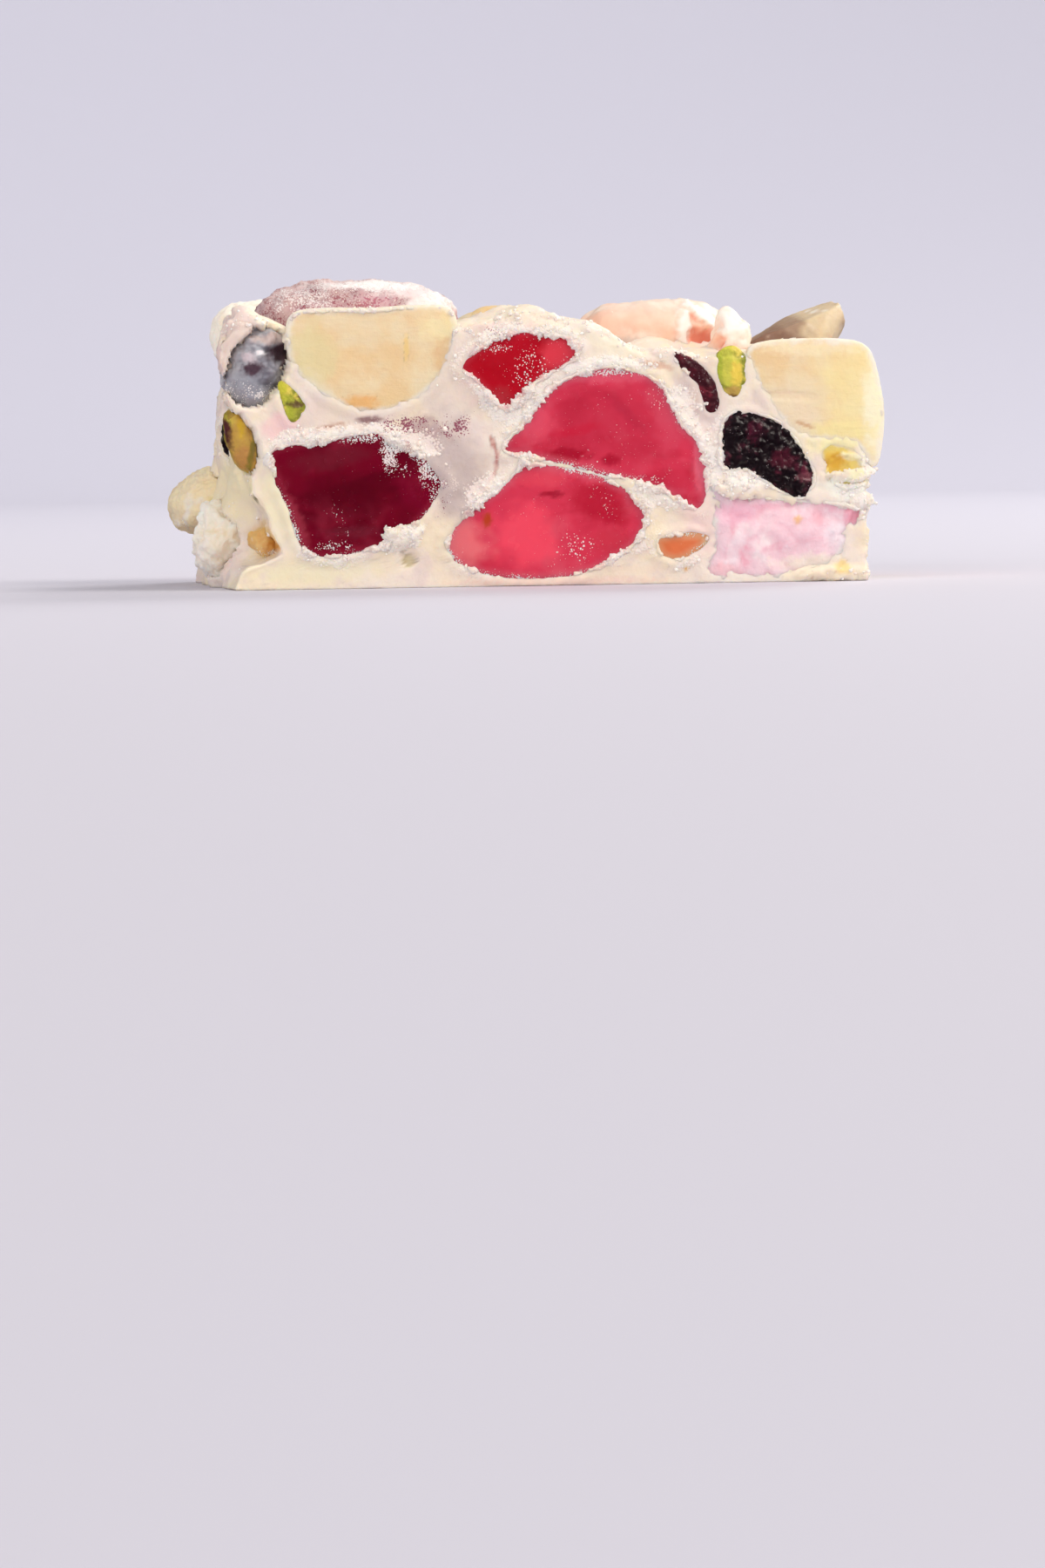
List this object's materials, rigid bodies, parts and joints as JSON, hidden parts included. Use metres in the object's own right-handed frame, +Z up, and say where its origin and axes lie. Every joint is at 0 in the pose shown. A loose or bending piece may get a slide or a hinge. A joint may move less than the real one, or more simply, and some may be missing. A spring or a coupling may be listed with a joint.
{
  "type": "rocky road slice",
  "caption": "Cut slice of white chocolate rocky road with jelly sweets, macadamias, pistachios, dried cranberries and marshmallows, on a flat base.",
  "frame": {"origin": "centre of the bounding box's bottom, on the surface that the slice lies on", "axes": "+X along the slice's length, to the right seen from the knife-cut front; +Y from the front to the back; +Z up"},
  "size_m": [0.0672, 0.0342, 0.0298],
  "materials": {
    "cranberry": "near-black wrinkled dried fruit",
    "red_cranberry": "dark red dried fruit",
    "orange_jelly": "clear pale orange jelly",
    "rose_jelly": "clear rose-red jelly with darker streaks",
    "ruby_jelly": "clear red jelly with white specks",
    "macadamia": "cut pale nut flesh with a faint fibre",
    "pink_marshmallow": "pink marshmallow foam",
    "pistachio": "green-yellow kernel with brown skin",
    "chocolate": "satin cream-coloured white chocolate with a dusty cut",
    "coated_berry": "dark dried fruit under a grey film of chocolate",
    "burgundy_jelly": "clear dark wine-red jelly with sugar dust",
    "white_marshmallow": "white marshmallow foam",
    "dusted_jelly": "plum jelly under frosted sugar and a film of chocolate",
    "peach_marshmallow": "peach marshmallow under a thin film",
    "toasted_nut": "toasted nut, taupe to cream"
  },
  "bodies": {
    "root": {"back_cranberry": "cranberry", "back_cranberry_strip": "red_cranberry", "back_jelly_orange": "orange_jelly", "back_jelly_rose": "rose_jelly", "back_jelly_ruby": "ruby_jelly", "back_macadamia": "macadamia", "back_marshmallow": "pink_marshmallow", "back_pistachio": "pistachio", "back_pistachio_chip": "pistachio", "chocolate": "chocolate", "coated_berry": "coated_berry", "cranberry_black": "cranberry", "cranberry_strip": "red_cranberry", "jelly_burgundy": "burgundy_jelly", "jelly_orange": "orange_jelly", "jelly_rose_lower": "rose_jelly", "jelly_rose_upper": "rose_jelly", "jelly_ruby": "ruby_jelly", "left_cranberry": "cranberry", "left_jelly_ruby": "ruby_jelly", "left_macadamia": "macadamia", "left_macadamia_chip": "macadamia", "left_marshmallow": "white_marshmallow", "left_pistachio": "pistachio", "macadamia_chip": "macadamia", "macadamia_left": "macadamia", "macadamia_right": "macadamia", "marshmallow_pink": "pink_marshmallow", "pistachio_chip": "pistachio", "pistachio_right": "pistachio", "right_cranberry": "cranberry", "right_jelly_rose": "rose_jelly", "right_pistachio": "pistachio", "top_cranberry": "red_cranberry", "top_cranberry_back": "cranberry", "top_jelly": "dusted_jelly", "top_jelly_back": "dusted_jelly", "top_macadamia": "macadamia", "top_macadamia_back": "macadamia", "top_marshmallow": "peach_marshmallow", "top_marshmallow_back": "white_marshmallow", "top_marshmallow_bit": "peach_marshmallow", "top_nut_right": "toasted_nut", "top_pistachio": "pistachio"}
  },
  "joints": []
}
